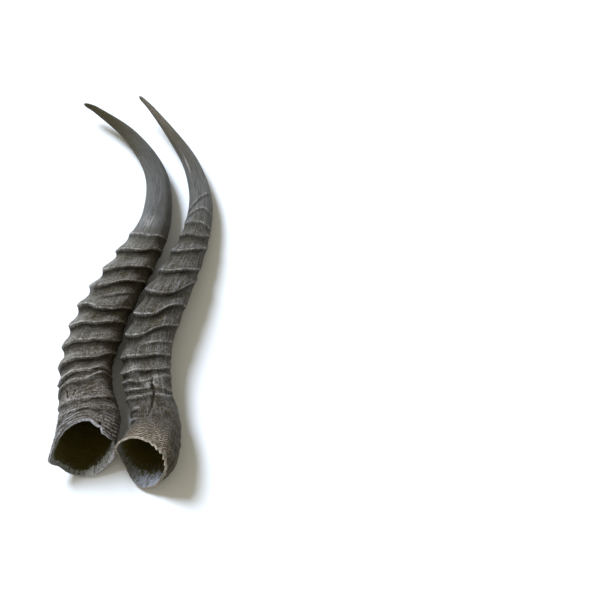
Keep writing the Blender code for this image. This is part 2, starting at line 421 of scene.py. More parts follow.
def ring_relief(sizes, crests, heights, angle, place):
    """The rings at each point: their relief, how far up a crest it is, the painted shadow under the crests,
    and the pale crest lines, partly wear and partly painted highlight.

    From each crest the horn falls gently towards the tip, into a valley, and then climbs ever more steeply to
    the next crest, which stands out over the valley on its base side. Short rings are added on to that.
    """
    relief, raised, under, crest_wear_and_highlight = (np.zeros(len(place)) for _ in range(4))
    every = zip(crests, heights, sizes.rings)
    full = [(crest, height) for crest, height, ring in every if ring.reach == WHOLE]
    flat = np.zeros(len(ROUND))
    run_in, run_out = 9, 11
    spans = [(full[0][0] - run_in, flat), *full, (full[-1][0] + run_out, flat)]
    longest_climb, under_middle = 6.0, 1.9
    for (near, near_height), (far, far_height) in zip(spans, spans[1:]):
        start, end = on_round(near, angle), on_round(far, angle)
        low_end, high_end = on_round(near_height, angle), on_round(far_height, angle)
        gap = np.maximum(end - start, 1.0)
        climb = np.minimum(longest_climb, 0.52 * gap)
        valley = sizes.valleys * np.minimum(low_end, high_end) * np.clip((gap - 3) / 6, 0, 1)
        past, short_of = place - start, end - place
        here = (past >= 0) & (place < end)
        falling = 0.5 + 0.5 * np.cos(math.pi * np.clip(past / (gap - climb), 0, 1))
        climbing = np.clip((past - gap + climb) / climb, 0, 1) ** 2.3
        for stretch, slope, height in (
            (here & (past < gap - climb), falling, low_end),
            (here & (past >= gap - climb), climbing, high_end),
        ):
            relief = np.where(stretch, (height + valley) * slope - valley, relief)
            raised = np.where(stretch, slope * np.clip(height / 1.4, 0, 1), raised)
        # The painted shadow under each crest: strongest just short of it, fading both ways.
        close_by = (np.clip(under_middle - short_of, 0, None) / 0.9) ** 2
        farther = (np.clip(short_of - under_middle, 0, None) / 3.0) ** 2
        under = np.maximum(under, np.clip(high_end / 1.3, 0, 1) * here * np.exp(-close_by - farther))
    for crest, crest_height, ring in zip(crests, heights, sizes.rings):
        past, height = place - on_round(crest, angle), on_round(crest_height, angle)
        if ring.reach < WHOLE:
            tipward = np.exp(-((np.clip(past, 0, None) / 4) ** 1.3))
            baseward = np.exp(-((np.clip(-past, 0, None) / 2.0) ** 1.5))
            relief += height * np.where(past > 0, tipward, baseward)
            relief -= 0.35 * height * np.exp(-(((past + 3.0) / 1.5) ** 2))
            # A short ring also gets a painted shadow just short of its crest.
            under = np.maximum(under, np.clip(height, 0, 1) * np.exp(-(((past + 1.8) / 1.4) ** 2)))
        # The pale line on each crest: partly wear, partly a painted highlight.
        line = np.exp(-(((past - 0.4) / 0.6) ** 2))
        crest_wear_and_highlight = np.maximum(crest_wear_and_highlight, np.clip(height / 0.55, 0, 1) * line)
    return relief, raised, under, crest_wear_and_highlight


def cut_marks(cuts, angle, place):
    """The nearest cut's distance from each point, in halves of its width, and how deep the cut sinks there.
    """
    radius_here, far_off = 18.0, 99.0
    here = np.stack([(angle % math.tau) * radius_here, place], -1)
    nearest, depth = np.full(len(place), UNCUT), np.zeros(len(place))
    for cut in cuts:
        spots = np.array(cut.points, float) * (math.radians(radius_here), 1)
        away = np.full(len(place), far_off)
        for begin, finish in zip(spots, spots[1:]):
            leg = finish - begin
            along_leg = np.clip((here - begin) @ leg / (leg @ leg), 0, 1)
            away = np.minimum(away, np.linalg.norm(here - begin - along_leg[:, None] * leg, axis=1))
        depth = np.maximum(depth, cut.depth * np.exp(-((away / (cut.half_width + 0.25)) ** 2)))
        nearest = np.minimum(nearest, away / cut.half_width)
    return nearest, depth


def carve_horn(horn, sizes, run, passed, rows, mouth, crests, heights):
    """Move each point of the rounded cage on to the horn's surface, with its rings, wrinkles and flakes."""
    wall, hollow_end, seed = sizes.wall, sizes.hollow_end, sizes.seed
    row = read_points(horn, "row")
    angle = np.arctan2(read_points(horn, "upward"), read_points(horn, "rightward"))
    degrees = np.degrees(angle) % 360
    cosine, sine = np.cos(angle), np.sin(angle)
    numbers = np.arange(len(rows.hollow))
    below = np.clip(np.floor(row).astype(int), 0, len(numbers) - 2)
    part = row - below
    spot = (angle % math.tau) / math.tau * len(ROUND)
    first = np.floor(spot).astype(int) % len(ROUND)
    fine = spot - np.floor(spot)

    def place_on(number):
        """A row's place at each point's angle."""
        there = rows.places[number, first] * (1 - fine)
        return there + rows.places[number, (first + 1) % len(ROUND)] * fine

    def by_angle(table, column=1):
        """A table's column, read at each point's angle round the horn."""
        columns = np.array(sorted(table), float).T
        return np.interp(degrees, columns[0], columns[column], period=360)

    # Where each point lies: its place along the run, its share of the hollow's depth, its side of the lip.
    place = place_on(below) * (1 - part) + place_on(below + 1) * part
    level = rows.places.mean(axis=1)
    growth = level[below] * (1 - part) + level[below + 1] * part
    hollow = np.interp(row, numbers, rows.hollow)
    lip = np.interp(row, numbers, rows.lip)
    inside = lip < 1
    rim = on_round(mouth, angle)
    crown = wall * 0.4
    set_back = crown * (1 - np.cos(lip * math.pi / 2))
    inner_place = rim + set_back + hollow * (hollow_end - rim - crown)
    outer_place = place + crown * np.exp(-np.clip(place - rim, 0, None) / 1.5)
    place = np.where(inside, inner_place, outer_place)
    growth = np.where(inside, place, growth)
    from_rim = np.clip(place - rim, 0, None)
    to_tip = passed[-1] - place
    grain = np.stack([AROUND_MM * cosine, AROUND_MM * sine, growth], -1)

    # The wall thickens from the rim to the hollow's blind end, and both that end and the tip are rounded.
    blind_wall, wall_growth = 3.6, 1.5
    wall_here = wall + (blind_wall - wall) * hollow + wall_growth * (1 - np.exp(-hollow / 0.07))
    wall_here += by_angle(sizes.thicker) * np.exp(-hollow * 12)
    depth_in = wall_here * (1 - (np.sin(lip * math.pi / 2) + 1) / 2) * inside
    share = np.where(inside, np.sqrt(np.clip(1 - hollow**4, 0, 1)), 1.0)
    rounded_tip = np.sqrt(np.clip(1 - (1 - to_tip / TIP_END) ** 2, 0, 1))
    share = np.where(~inside & (to_tip < TIP_END), rounded_tip, share)

    relief, raised, under, crest_wear_and_highlight = ring_relief(sizes, crests, heights, angle, place)
    cut_mark, cut_depth = cut_marks(sizes.cuts, angle, place)

    # Between the rings the horn is wrinkled across and ribbed lengthwise; towards the tip it grows smooth.
    last_ring = max(crest.mean() for crest, ring in zip(crests, sizes.rings) if ring.reach == WHOLE)
    ring_end, ring_fade, base_end, base_fade = last_ring + 12, 30, 120, 60
    ringed = np.clip((ring_end - growth) / ring_fade, 0, 1)
    towards_base = np.clip((base_end - growth) / base_fade, 0, 1)
    warp = np.stack([np.zeros(len(place))] * 2 + [2.2 * grain_noise(grain / (7, 7, 12), seed + 39)], -1)
    across = grain_noise((grain + warp) / (10, 10, 2.0), seed + 40)
    across = across + 0.6 * grain_noise((grain + warp) / (6, 6, 1.1), seed + 41)
    lengthwise = grain_noise(grain / (1.5, 1.5, 14), seed + 42)
    lumps = grain_noise(grain / (11, 11, 9), seed + 43)
    crossing = grain_noise((grain + warp) / (12, 12, 2.6), seed + 48)
    crossing = crossing + 0.35 * grain_noise(grain / 2.5, seed + 49)
    creases = np.exp(-((crossing / 0.13) ** 2)) * np.clip(0.6 + grain_noise(grain / 8, seed + 50), 0, 1)
    creases *= np.clip((cut_mark - 2) / 4, 0, 1)
    relief += ringed * (0.12 + 0.5 * towards_base) * across + (0.03 + 0.1 * ringed) * lengthwise
    relief -= ringed * (0.15 + 0.3 * towards_base) * creases
    relief += (0.05 + 0.3 * ringed) * lumps

    # Round the rim the horn weathers into thin layers that flake back one behind another.
    weathered, tip_fade = 11, 30
    split_share = np.full(len(place), 0.25)
    for middle, spread, strength in sizes.flaking:
        split_share = np.maximum(split_share, strength * np.exp(-((turned(angle, middle) / spread) ** 2)))
    flaking = split_share * np.exp(-((from_rim / weathered) ** 2))
    over_lip = np.where(inside, (lip - 1) / 2 * wall_here * 1.3, from_rim)
    wander = grain_noise(grain / (9, 9, 8), seed + 45) + 0.35 * grain_noise(grain / 3, seed + 51)
    layer = (over_lip + wander) / sizes.layer_gap
    relief += 0.6 * flaking * ((layer % 1.0) ** 0.6 - 0.6)
    relief -= 0.4 * np.clip(from_rim / 30, 0, 1)
    relief *= np.clip(to_tip / tip_fade, 0, 1)
    relief -= cut_depth * ~inside

    # The hollow's wall is ribbed lengthwise where the bone core was bound to it.
    ribs = grain_noise(grain / (2.2, 2.2, 16), seed + 46)
    ribs = ribs + 0.5 * grain_noise(grain / (1.1, 1.1, 9), seed + 47)
    inner = 0.32 * ribs * np.clip((hollow_end - place) / 40, 0, 1)
    outside_share = np.clip((lip + 1) / 2, 0, 1)
    lift = np.where(inside, relief * outside_share + inner * (1 - outside_share), relief)

    # The corners and the swellings are added, and each point is set on its section of the run.
    shares = corner_shares(sizes.corners, angle)
    lift += sum(c.height * s * np.exp(-from_rim / c.fade) for c, s in zip(sizes.corners, shares))
    lift += sum(swell.height * patch_share(swell, angle, place) for swell in sizes.swells)
    centre, right, up, _, width, depth = frame_at(run, passed, place)
    out_right = (width + lift - depth_in) * share * cosine
    out_up = (depth + lift - depth_in) * share * sine
    points = (centre + right * out_right[:, None] + up * out_up[:, None]) * MM
    points = np.clip(points, *np.array(cad_box))
    horn.data.vertices.foreach_set("co", points.astype(np.float32).ravel())
    horn.data.shade_smooth()

    # What the material reads at each point.
    marks = {
        "grain": grain,
        "crest": crest_wear_and_highlight * ~inside,
        "raised": raised * ~inside,
        "under": under * ~inside,
        "cut": np.where(inside, UNCUT, cut_mark),
        "hollow": np.where(inside, 1 - outside_share, 0.0),
        "depth": np.where(inside, hollow * (hollow_end - rim) / by_angle(sizes.lining), 0.0),
        "pale_and_lit": by_angle(sizes.lining, 2),
        "bare": by_angle(sizes.bare),
        "edge": np.cos(np.clip(lip, -1, 1) * math.pi / 2) * (np.abs(lip) < 1),
        "layer": layer,
        "flaking": flaking * (lip > -0.9),
        "crease": np.where(inside, 0.0, creases * ringed * (0.5 + 0.5 * towards_base)),
        "basal": towards_base,
        "smooth_part": 1 - ringed,
        "from_rim": from_rim,
        "to_tip": to_tip,
    }
    # Painted shade on the shaded sides, and scuffed horn, both laid on as patches.
    for word, patches in (("grime", sizes.grime), ("scuff", sizes.scuffs)):
        marks[word] = ~inside * np.max([p.strength * patch_share(p, angle, place) for p in patches], axis=0)
    for word, values in marks.items():
        keep_points(horn, word, values)
    for word in ("row", "rightward", "upward"):
        horn.data.attributes.remove(horn.data.attributes[word])
    horn.data.update()


def rim_line(rim, corners, tears, seed):
    """Where the rim runs round the horn, with its corners run out, its fine ragged edge and its tears."""
    place = line_place(rim, ROUND)
    for corner, share in zip(corners, corner_shares(corners, ROUND)):
        place = place - corner.reach * share
    angles, set_back = np.array(tears, float).T
    place = place + np.interp(np.degrees(ROUND), angles, set_back, period=360)
    ragged = 0.5 * round_noise(7, seed + 30) + 0.3 * round_noise(2.5, seed + 31)
    return place + np.clip(ragged, -0.1, None)


def put(tree, kind, feeds=None, **settings):
    """Add a node to a sheet, with its settings, and a value or a link on each named input."""
    node = tree.nodes.new(kind)
    columns, column_width, row_height = 12, 220, 300
    row, column = divmod(len(tree.nodes), columns)
    node.location = (column_width * column, -row_height * row)
    for word, value in settings.items():
        setattr(node, word, value)
    for word, value in (feeds or {}).items():
        if isinstance(value, bpy.types.NodeSocket):
            tree.links.new(value, node.inputs[word])
        else:
            node.inputs[word].default_value = value
    return node


def math_node(tree, operation, first, second=0.0, clamp=False):
    """A Math node's result."""
    feeds = {0: first, 1: second}
    return put(tree, "ShaderNodeMath", feeds, operation=operation, use_clamp=clamp).outputs[0]


def blend_node(tree, share, first, second):
    """One colour blended into another. A Mix node has its colours on inputs 6 and 7, and on output 2."""
    feeds = {0: share, 6: first, 7: second}
    return put(tree, "ShaderNodeMix", feeds, data_type="RGBA").outputs[2]


def span_node(tree, value, low, high, to_low=0.0, to_high=1.0):
    """A value's span from low to high, drawn smoothly on to another span."""
    feeds = {0: value, 1: low, 2: high, 3: to_low, 4: to_high}
    return put(tree, "ShaderNodeMapRange", feeds, interpolation_type="SMOOTHSTEP").outputs[0]


def noise_node(tree, vector, stretch, detail, roughness):
    """Noise along the horn's own grain, stretched by a number of lumps per millimetre each way."""
    scaled = put(tree, "ShaderNodeVectorMath", {0: vector, 1: stretch}, operation="MULTIPLY").outputs[0]
    feeds = {"Vector": scaled, "Scale": 1.0, "Detail": detail, "Roughness": roughness}
    return put(tree, "ShaderNodeTexNoise", feeds).outputs[0]


def new_group(word, takes, gives):
    """A shader node group with its named inputs and outputs, and its input and output nodes."""
    tree = bpy.data.node_groups.new(word, "ShaderNodeTree")
    for direction, sockets in (("INPUT", takes), ("OUTPUT", gives)):
        for name, kind in sockets:
            tree.interface.new_socket(name=name, in_out=direction, socket_type="NodeSocket" + kind)
    return tree, put(tree, "NodeGroupInput"), put(tree, "NodeGroupOutput")


# Keratin's own grain: fine fibres lengthwise, fine wrinkles across, slow mottling, scattered flecks and
# stains, the long ribs of the hollow's lining, and hair cracks where one more noise crosses its middle. Each
# has its lumps per millimetre sideways, upwards and lengthwise, its detail, its roughness and its shown span.
GRAINS = (
    ("Fibre", (0.95, 0.95, 0.085), 4.0, 0.7, 0.34, 0.66),
    ("Wrinkle", (0.12, 0.12, 0.78), 4.0, 0.72, 0.34, 0.66),
    ("Mottle", (0.10, 0.10, 0.08), 5.0, 0.65, 0.34, 0.66),
    ("Fleck", (1.05, 1.05, 0.95), 4.0, 0.75, 0.36, 0.66),
    ("Stain", (0.24, 0.24, 0.3), 5.0, 0.7, 0.36, 0.66),
    ("Rib", (1.0, 1.0, 0.13), 3.0, 0.6, 0.34, 0.66),
    ("Hair", (0.075, 0.075, 0.42), 3.0, 0.6, 0.035, 0.0),
)
grain_group, taken, given = new_group(
    "keratin grain", (("Grain", "Vector"),), tuple((grain[0], "Float") for grain in GRAINS)
)
for word, stretch, detail, roughness, low, high in GRAINS:
    noise = noise_node(grain_group, taken.outputs["Grain"], stretch, detail, roughness)
    if word == "Hair":
        noise = math_node(grain_group, "ABSOLUTE", math_node(grain_group, "SUBTRACT", noise, 0.5))
    grain_group.links.new(span_node(grain_group, noise, low, high), given.inputs[word])

# What both horns share: a dark for fine dark grain that also paints shade into the creases and valleys, the
# painted shadow under the crests, and the painted shade deep in the hollows.
DARKS = {"dirt_and_shade": (0.026, 0.020, 0.003), "crest_shadow": (0.010, 0.0075, 0.001), "hollow_shade": (0.062, 0.050, 0.001)}


def horn_material(word, shades, across, lengthwise):
    """A horn's finish: dull dark keratin, paler with wear and painted highlight on the crests, darker with
    painted shade.
    """
    material = bpy.data.materials.new(word)
    material.use_nodes = True
    tree = material.node_tree
    shader = tree.nodes["Principled BSDF"]
    shades = {name: (*colour, 1) for name, colour in {**DARKS, **shades}.items()}

    def times(first, second):
        return math_node(tree, "MULTIPLY", first, second)

    def plus(first, second):
        return math_node(tree, "ADD", first, second)

    def less(first, second):
        return math_node(tree, "SUBTRACT", first, second)

    def larger(first, second):
        return math_node(tree, "MAXIMUM", first, second)

    def span(*numbers):
        return span_node(tree, *numbers)

    def tint(under_it, share, shade):
        return blend_node(tree, share, under_it, shades[shade])

    (
        crest, raised, under, cut, hollow, depth, pale_and_lit, bareness, edge, layer,
        flaking, crease, basal, smooth_part, from_rim, to_tip, grime, scuff,
    ) = (
        put(tree, "ShaderNodeAttribute", attribute_name=name).outputs["Fac"]
        for name in (
            "crest", "raised", "under", "cut", "hollow", "depth", "pale_and_lit", "bare", "edge", "layer",
            "flaking", "crease", "basal", "smooth_part", "from_rim", "to_tip", "grime", "scuff",
        )
    )
    directions = put(tree, "ShaderNodeAttribute", attribute_name="grain").outputs["Vector"]
    grain = put(tree, "ShaderNodeGroup", node_tree=grain_group)
    tree.links.new(directions, grain.inputs["Grain"])
    fibre, wrinkle, mottle, fleck, stain, rib, hair = (grain.outputs[kind[0]] for kind in GRAINS)
    ringed = less(1.0, smooth_part)

    # The body: mottled dark keratin, paler and browner at the base, smooth and even above the rings.
    colour = blend_node(tree, mottle, shades["deep"], shades["body"])
    colour = tint(colour, times(basal, span(stain, 0.2, 0.8, 0.35, 0.9)), "base")
    browned = less(0.55, times(smooth_part, 0.35))
    colour = tint(colour, times(span(stain, 0.55, 0.9), browned), "brown")
    colour = tint(colour, smooth_part, "smooth")

    # Paler and darker lines across it, where it is ringed, and lengthwise; and the darker tip.
    crossed = times(ringed, plus(0.3 * across, times(basal, 0.55 * across)))
    colour = tint(colour, times(span(wrinkle, 0.55, 0.9), crossed), "pale")
    colour = tint(colour, times(span(wrinkle, 0.45, 0.1), crossed), "dirt_and_shade")
    ribbed_share = less(0.65 * lengthwise, times(smooth_part, 0.3 * lengthwise))
    colour = tint(colour, times(span(fibre, 0.55, 0.95), ribbed_share), "pale")
    colour = tint(colour, times(span(fibre, 0.45, 0.05), ribbed_share), "dirt_and_shade")
    colour = tint(colour, span(to_tip, 100.0, 15.0), "tip")

    # Hair cracks, kept clear of the cuts, pale specks and dark pits.
    cracked = times(hair, times(ringed, plus(0.25, times(basal, 0.5))))
    cracked = times(cracked, span(cut, 2.0, 7.0))
    colour = tint(colour, cracked, "dirt_and_shade")
    colour = tint(colour, times(span(fleck, 0.6, 0.95), plus(0.14, times(ringed, 0.45))), "pale")
    colour = tint(colour, times(span(fleck, 0.38, 0.05), plus(0.1, times(ringed, 0.6))), "dirt_and_shade")

    # Painted shade on the shaded sides, in the valleys and the creases, and a painted shadow under the
    # crests;
    # pale crest lines, partly wear and partly painted highlight, and pale scuffed horn.
    colour = tint(colour, times(grime, span(stain, 0.1, 0.8, 0.55, 1.0)), "grime")
    # Painted shade low in the valleys and in the creases.
    colour = tint(colour, times(span(raised, 0.35, 0.0), times(ringed, 0.3)), "dirt_and_shade")
    colour = tint(colour, times(crease, 0.75), "dirt_and_shade")
    # Painted shadow under the crests.
    colour = tint(colour, times(under, span(wrinkle, 0.0, 1.0, 1.0, 0.85)), "crest_shadow")
    wear_and_highlight = times(crest, span(fleck, 0.0, 0.75, 0.3, 1.0))
    colour = tint(colour, times(wear_and_highlight, span(stain, 0.25, 0.75, 0.2, 1.0)), "wear_and_highlight")
    colour = tint(colour, times(scuff, span(larger(fibre, fleck), 0.35, 0.8)), "wear_and_highlight")

    # The rim: stained and split into layers outside, darker in the cracks between layers, and pale on its cut
    # edge.
    stained = times(span(from_rim, 16.0, 1.0), span(mottle, 0.1, 0.9, 0.2, 0.9))
    colour = tint(colour, times(stained, span(grime, 0.3, 1.0, 1.0, 0.15)), "rim_stain")
    phase = math_node(tree, "FRACT", plus(layer, times(stain, 0.3)))
    strength = math_node(tree, "MULTIPLY", flaking, 1.3, clamp=True)
    strength = times(strength, span(grime, 0.4, 1.0, 1.0, 0.4))
    pale_layer = times(span(phase, 0.45, 0.9), strength)
    colour = tint(colour, times(pale_layer, span(fleck, 0.1, 0.65, 0.25, 1.0)), "rim")
    colour = tint(colour, times(times(span(phase, 0.38, 0.08), strength), 0.9), "dirt_and_shade")
    bare = larger(span(from_rim, 1.5, 0.4), edge)
    bare = times(bare, times(bareness, span(fleck, 0.1, 0.6, 0.45, 1.0)))
    colour = tint(colour, bare, "rim")

    # The hollow: a pale, ribbed lining just inside the lower edge, paler with painted light where that wall
    # faces up; then dull grey ribs and dark brown further in, painted shade that deepens with depth.
    ragged = less(plus(depth, 0.2), plus(times(stain, 0.3), times(rib, 0.1)))
    ribbed = plus(times(rib, 0.5), times(fleck, 0.5))
    lining = tint(shades["inner"], times(span(ribbed, 0.1, 0.55), pale_and_lit), "lining")
    lining = tint(lining, times(span(ribbed, 0.3, 0.08), 0.7), "hollow_shade")
    inner = tint(shades["hollow_shade"], span(ribbed, 0.3, 0.9), "inner")
    lining = blend_node(tree, span(ragged, 0.4, 0.75), lining, inner)
    # Painted shade, darkest deep in the hollow.
    lining = tint(lining, span(ragged, 0.8, 1.2), "hollow_shade")
    within = span(hollow, 0.7, 0.98)
    colour = blend_node(tree, within, colour, lining)
    # Painted shade inside the carved cuts.
    colour = tint(colour, span(cut, 1.25, 0.7), "cut_shade")
    tree.links.new(colour, shader.inputs["Base Color"])

    rough = plus(span(mottle, 0.0, 1.0, 0.40, 0.56), times(larger(within, under), 0.4))
    tree.links.new(rough, shader.inputs["Roughness"])
    shader.inputs["Specular IOR Level"].default_value = 0.22

    # The finest relief, in half millimetres.
    height = plus(times(fibre, plus(0.3, ribbed_share)), times(wrinkle, plus(0.15, times(crossed, 1.6))))
    height = plus(height, times(fleck, 0.7))
    height = less(height, times(cracked, 1.2))
    height = plus(height, times(times(phase, strength), 1.4))
    bump = put(tree, "ShaderNodeBump", {"Strength": 1.0, "Distance": 0.0005, "Height": height})
    tree.links.new(bump.outputs[0], shader.inputs["Normal"])
    return material


def make_horn(word, sizes, shades, across, lengthwise):
    """A horn from its sizes: its cage is laid row by row, rounded, carved and given its finish."""
    run, passed = run_through(sizes.stations, sizes.shift)
    mouth = rim_line(sizes.rim, sizes.corners, sizes.tears, sizes.seed)
    crests = [ring_path(ring, sizes.seed + 100 + 7 * i) for i, ring in enumerate(sizes.rings)]
    heights = [ring_height(ring, sizes.seed + 100 + 7 * i) for i, ring in enumerate(sizes.rings)]
    whole = [crest for crest, ring in zip(crests, sizes.rings) if ring.reach == WHOLE]
    rows = plan_rows(mouth, whole, passed[-1])
    horn = lay_cage(word, run, passed, rows, sizes.hollow_end, sizes.wall)
    carve_horn(horn, sizes, run, passed, rows, mouth, crests, heights)
    horn.data.materials.append(horn_material(word + "_keratin", shades, across, lengthwise))
    return horn


LEFT_SIZES = Sizes(
    stations=LEFT_RUN,
    shift=LEFT_SHIFT,
    rim=LEFT_RIM,
    corners=LEFT_CORNERS,
    tears=(
        (2, 2.2), (12, -0.6), (30, -5.4), (49, -6.8), (52, -2.6), (57, -3.2), (65, -2.6), (76, 0),
        (285, 0), (303, 1.8), (322, 3.0), (340, 3.4), (352, 3.2),
    ),
    wall=LEFT_WALL,
    thicker=(
        (5, -0.9), (44, -0.8), (50, 0.2), (54, 1.8), (90, 2.2), (120, 1.5), (150, 0.5), (180, 0),
        (335, 0),
    ),
    hollow_end=LEFT_HOLLOW_END,
    rings=LEFT_RINGS,
    valleys=0.55,
    swells=(
        Swell(180, 80, -1.0, 50, 35),
        Swell(180, 175, -0.7, 60, 50),
        Swell(180, 225, -0.6, 60, 25),
        Swell(0, 90, -1.1, 45, 30),
        Swell(12, 44, 2.4, 30, 9),
        Swell(0, 66, -2.2, 45, 10),
        Swell(0, 29, -1.9, 24, 6),
        Swell(0, 120, 1.8, 40, 14),
        Swell(0, 170, -0.9, 60, 30),
        Swell(0, 280, -0.9, 60, 40),
    ),
    # How far in the pale lining reaches and how pale it is; the paleness is partly painted light on the lower
    # wall.
    lining=(
        (20, 2, 0.05), (90, 2, 0.1), (150, 3, 0.15), (200, 4, 0.2), (235, 5, 0.28), (258, 4, 0.3),
        (270, 6, 0.75), (280, 9, 1.0), (300, 10, 1.0), (335, 9, 1.0), (348, 6, 0.7), (358, 3, 0.15),
    ),
    bare=(
        (5, 0.1), (44, 0.12), (50, 0.4), (54, 1.0), (94, 1.0), (106, 0.4), (125, 0.12), (235, 0.1),
        (262, 0.4), (285, 1.0), (338, 0.9), (352, 0.3),
    ),
    flaking=((30, 24, 1.5), (185, 46, 1.4), (125, 24, 0.9)),
    layer_gap=2.3,
    cuts=(
        Cut(((129, 65.4), (126.5, 61), (124, 58.6)), 0.6, 1.1),
        Cut(((107, 64.4), (109, 61.4), (110.5, 59.4)), 0.55, 1.0),
        Cut(((52.5, 31), (54, 34), (55, 37)), 0.8, 1.6),
        Cut(((48, 39), (34, 37.5), (20, 35)), 0.35, 0.6),
        Cut(((44, 34.5), (32, 33), (22, 31)), 0.35, 0.5),
    ),
    # Patches of painted shade on the right side and along the left side.
    grime=(
        Patch(2, 190, 34, 90, 0.8),
        Patch(0, 95, 32, 30, 0.7),
        Patch(168, 62, 26, 22, 0.45),
        Patch(150, 36, 26, 12, 0.4),
        Patch(180, 150, 30, 60, 0.3),
        Patch(2, 250, 34, 55, 0.75),
        Patch(176, 318, 46, 42, 1.4),
        Patch(178, 268, 32, 36, 1.0),
    ),
    scuffs=(
        Patch(100, 214, 24, 7, 0.5),
        Patch(34, 67, 2.2, 0.9, 1.0),
        Patch(48, 36, 10, 3.5, 0.7),
        Patch(140, 145, 14, 6, 0.4),
    ),
    seed=11,
)
left_horn = make_horn(
    "left_horn",
    LEFT_SIZES,
    {
        "deep": (0.074, 0.062, 0.032),
        "body": (0.235, 0.224, 0.200),
        "base": (0.57, 0.485, 0.420),
        "brown": (0.110, 0.086, 0.046),
        "smooth": (0.106, 0.107, 0.108),
        "pale": (0.31, 0.31, 0.325),
        # painted shade for the shaded sides
        "grime": (0.050, 0.038, 0.002),
        "tip": (0.062, 0.050, 0.018),
        # pale of wear, and of the painted highlight on the crests
        "wear_and_highlight": (0.56, 0.55, 0.55),
        "rim": (0.82, 0.83, 0.93),
        "rim_stain": (0.15, 0.130, 0.105),
        # pale lining, partly painted light on the wall that faces up
        "lining": (0.84, 0.90, 1.0),
        # duller grey deeper in the hollow, partly painted shade
        "inner": (0.16, 0.16, 0.13),
        # painted shade inside the cuts
        "cut_shade": (0.018, 0.013, 0.006),
    },
    across=1.0,
    lengthwise=0.7,
)
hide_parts("horn_left")
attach(left_horn, "root")

# --------------------------------------------------------------------------------------------------
# The right horn: a slimmer sheath of the same keratin, from another growth, with its rings set closer
# at the base and a pale, thin, rolled rim. A short split with a small hole runs up from the base.
# --------------------------------------------------------------------------------------------------

RIGHT_SHIFT = (0.13518, 2.82219, 0.33665)
RIGHT_RUN = (
    Station(6.3, -172, 18.5, 20.0, 17.0),
    Station(17, -148, 18.7, 19.4, 17.4),
    Station(21, -126, 18.3, 18.2, 17.2),
    Station(17.5, -106, 17.5, 18.0, 16.5),
    Station(12, -82, 17, 18.0, 16.0),
    Station(13, -60, 17, 18.0, 16.0),
    Station(21, -31, 17, 17.2, 15.7),
    Station(33, 0, 15.3, 14.6, 14.0),
    Station(43, 34, 12, 12.0, 11.7),
    Station(46, 66, 10.3, 10.2, 10.0),
    Station(39, 97, 9.8, 8.0, 8.2),
    Station(27.2, 119.5, 11.2, 6.3, 6.5),
    Station(2.2, 152.5, 17, 2.9, 3.0),
    Station(-9.5, 165, 19, 1.4, 1.4),
)
RIGHT_RIM = Line(25, 31, 17, 6)
RIGHT_CORNERS = (Corner(8, 3.6, 45, 22, 0), Corner(355, -5.6, 42, 3.4, 0), Corner(184, 4.8, 28, 7, 1.2))
RIGHT_WALL = 1.6
RIGHT_HOLLOW_END = 200
RIGHT_RINGS = (
    Ring(Line(49, 49, 49, 49), 0.9, (), 170, 52),
    Ring(Line(59, 58, 58, 58), 1.1, (), 168, 58),
    Ring(Line(69, 65, 66, 70), 0.8, ((192, 72), (122, 68), (98, 66), (86, 67))),
    Ring(Line(77, 71, 74, 80), 0.9, ((176, 80), (124, 74), (100, 72), (72, 72), (50, 70), (28, 69))),
    Ring(Line(84, 78.5, 83, 89), 1.1, ((172, 86), (126, 82), (102, 78), (80, 78), (62, 79), (42, 80))),
    Ring(Line(92, 85.5, 92, 98), 1.5, ((160, 90), (126, 88), (102, 88), (80, 86), (58, 86), (-22, 95))),
    Ring(
        Line(102, 97.5, 106, 110), 1.8,
        ((182, 102), (128, 99), (86, 98), (64, 100), (36, 102), (-8, 106)),
    ),
    Ring(Line(110, 109, 120, 121), 1.1, ((88, 108), (66, 111), (42, 114), (8, 118)), 45, 55),
    Ring(
        Line(118, 118, 133, 132), 2.0,
        ((172, 118), (102, 114), (86, 118), (74, 122), (58, 126), (36, 130), (-32, 137)),
    ),
    Ring(
        Line(137, 132.5, 151, 155), 2.1,
        ((186, 138), (100, 131), (84, 133), (76, 136), (66, 142), (50, 146), (26, 151)),
    ),
    Ring(
        Line(154, 151.5, 171, 173), 2.1,
        ((208, 162), (142, 151), (100, 150), (76, 152), (56, 158), (44, 164), (26, 170), (-34, 180)),
    ),
    Ring(Line(174, 172.5, 186, 187), 1.9, ((192, 177), (104, 169), (88, 172), (64, 176), (-30, 189))),
    Ring(Line(192, 193, 205, 204), 1.6, ((184, 196), (110, 190), (80, 193), (46, 199), (-30, 209))),
    Ring(Line(208, 209, 217, 216), 1.2, ((186, 212), (84, 208), (50, 210), (-26, 219))),
    Ring(
        Line(224, 222, 227, 229), 0.8,
        ((200, 230), (150, 221), (92, 222), (62, 222), (20, 221), (-32, 226)),
    ),
    Ring(
        Line(232, 232, 238, 236), 0.55,
        ((150, 226), (124, 230), (102, 233.5), (80, 236), (60, 236), (24, 232)), 75, 78,
    ),
    Ring(
        Line(243, 246, 250, 248), 0.7,
        ((150, 234), (130, 236), (110, 241.5), (88, 246), (64, 249), (40, 251)), 92, 66,
    ),
)
